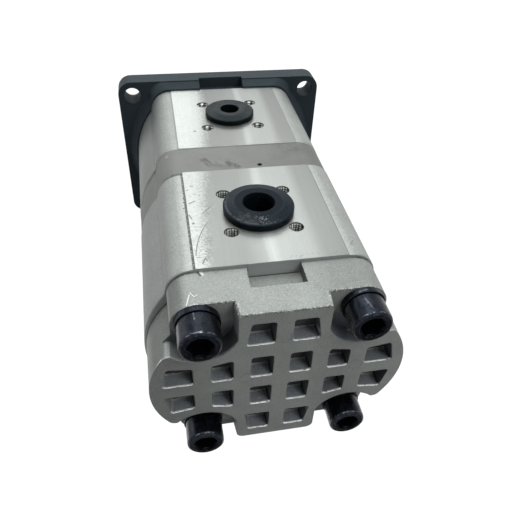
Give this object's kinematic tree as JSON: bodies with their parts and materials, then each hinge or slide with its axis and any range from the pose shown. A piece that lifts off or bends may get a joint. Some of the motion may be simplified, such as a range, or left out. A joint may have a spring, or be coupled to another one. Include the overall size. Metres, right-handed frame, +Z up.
{
  "type": "tandem hydraulic gear pump",
  "caption": "Double hydraulic gear pump: black mounting flange with tapered shaft, extruded bodies on a shared axis, ribbed end cover, long socket screws and plugged top and bottom ports.",
  "frame": {"origin": "centre of the mounting pilot on the flange's front face, on the drive shaft's axis", "axes": "+Y along the drive shaft out of the front, +Z up out of the top ports, +X to the right seen from the rear cover"},
  "size_m": [0.1156, 0.2323, 0.0882],
  "materials": {
    "black_casting": "black satin paint over a casting",
    "extrusion": "satin drawn surface, machined port faces",
    "plate_casting": "matte cast",
    "grey_casting": "blasted die casting",
    "black_steel": "black oxide, oiled",
    "bright_steel": "ground",
    "spring_steel": "phosphated",
    "bearing_metal": "machined",
    "bronze": "plain bearing",
    "seal_rubber": "matte",
    "backup_plastic": "matte",
    "plug_plastic": "semi-gloss moulded"
  },
  "bodies": {
    "casing": {"front_cover": "black_casting", "front_body": "extrusion", "middle_plate": "plate_casting", "rear_body": "extrusion", "rear_cover": "grey_casting", "through_bolts": "black_steel", "spring_washers": "black_steel", "shaft_seal": "seal_rubber", "seal_circlip": "spring_steel", "front_section_front_block": "bearing_metal", "front_section_rear_block": "bearing_metal", "rear_section_front_block": "bearing_metal", "rear_section_rear_block": "bearing_metal", "front_section_front_liners": "bronze", "front_section_rear_liners": "bronze", "rear_section_front_liners": "bronze", "rear_section_rear_liners": "bronze", "front_section_front_pressure_seal": "seal_rubber", "front_section_rear_pressure_seal": "seal_rubber", "rear_section_front_pressure_seal": "seal_rubber", "rear_section_rear_pressure_seal": "seal_rubber", "front_section_front_backup_ring": "backup_plastic", "front_section_rear_backup_ring": "backup_plastic", "rear_section_front_backup_ring": "backup_plastic", "rear_section_rear_backup_ring": "backup_plastic", "front_cover_joint_seal": "seal_rubber", "plate_front_joint_seal": "seal_rubber", "plate_rear_joint_seal": "seal_rubber", "rear_cover_joint_seal": "seal_rubber", "front_cover_dowels": "bright_steel", "plate_front_dowels": "bright_steel", "plate_rear_dowels": "bright_steel", "rear_cover_dowels": "bright_steel"},
    "drive_train": {"drive_gear_shaft": "bright_steel", "shaft_key": "bright_steel", "shaft_washer": "spring_steel", "shaft_nut": "bright_steel", "coupling_sleeve": "bright_steel", "rear_drive_gear": "bright_steel"},
    "front_driven": {"front_driven_gear": "bright_steel"},
    "rear_driven": {"rear_driven_gear": "bright_steel"},
    "rear_top_plug": {"rear_top_plug": "plug_plastic"},
    "rear_bottom_plug": {"rear_bottom_plug": "plug_plastic"},
    "front_top_plug": {"front_top_plug": "plug_plastic"},
    "front_bottom_plug": {"front_bottom_plug": "plug_plastic"}
  },
  "joints": [
    {"name": "drive_spin", "type": "hinge", "parent": "casing", "child": "drive_train", "pos_m": [0, 0, 0], "axis": [0, 1, 0], "continuous": true},
    {"name": "front_driven_spin", "type": "hinge", "parent": "casing", "child": "front_driven", "pos_m": [-0.031, -0.0481, 0], "axis": [0, 1, 0], "continuous": true},
    {"name": "rear_driven_spin", "type": "hinge", "parent": "casing", "child": "rear_driven", "pos_m": [-0.031, -0.1323, 0], "axis": [0, 1, 0], "continuous": true},
    {"name": "rear_top_plug_pull", "type": "slide", "parent": "casing", "child": "rear_top_plug", "axis": [0, 0, 1], "range_m": [0, 0.02]},
    {"name": "rear_bottom_plug_pull", "type": "slide", "parent": "casing", "child": "rear_bottom_plug", "axis": [0, 0, -1], "range_m": [0, 0.02]},
    {"name": "front_top_plug_pull", "type": "slide", "parent": "casing", "child": "front_top_plug", "axis": [0, 0, 1], "range_m": [0, 0.02]},
    {"name": "front_bottom_plug_pull", "type": "slide", "parent": "casing", "child": "front_bottom_plug", "axis": [0, 0, -1], "range_m": [0, 0.02]}
  ],
  "couplings": [
    {"joint": "front_driven_spin", "follows": "drive_spin", "ratio": -1},
    {"joint": "rear_driven_spin", "follows": "drive_spin", "ratio": -1}
  ]
}
